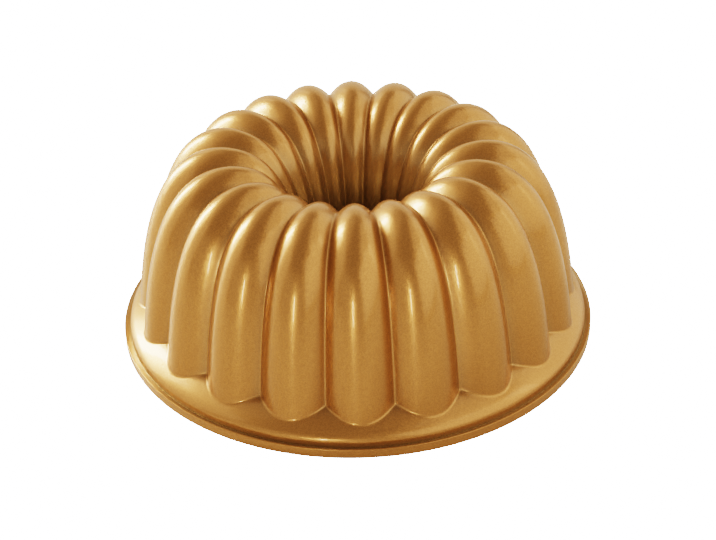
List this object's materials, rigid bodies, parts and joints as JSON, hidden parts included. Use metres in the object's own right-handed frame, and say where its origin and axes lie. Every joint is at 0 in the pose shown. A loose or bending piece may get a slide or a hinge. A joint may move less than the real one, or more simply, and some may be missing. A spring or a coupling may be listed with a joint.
{
  "type": "fluted tube pan",
  "caption": "Upturned cast ring-cake pan: round ribs rise from a stepped lip and sloping flange, over a domed crown, into an open tapering tube; gold coat outside, non-stick coat inside.",
  "frame": {"origin": "middle of the rim plane, on the table that the upturned pan stands on", "axes": "+Z along the pan's axis from the rim towards the crown; one rib faces -Y, the side that the picture shows"},
  "size_m": [0.26, 0.26, 0.1072],
  "materials": {
    "cast_aluminium": "bare cast metal, satin",
    "gold_coat": "gold metallic coat with fine flake, satin",
    "nonstick_coat": "bronze-toned non-stick coat, satin"
  },
  "bodies": {
    "root": {"cast_body": "cast_aluminium", "exterior_coat": "gold_coat", "interior_nonstick_coat": "nonstick_coat"}
  },
  "joints": []
}
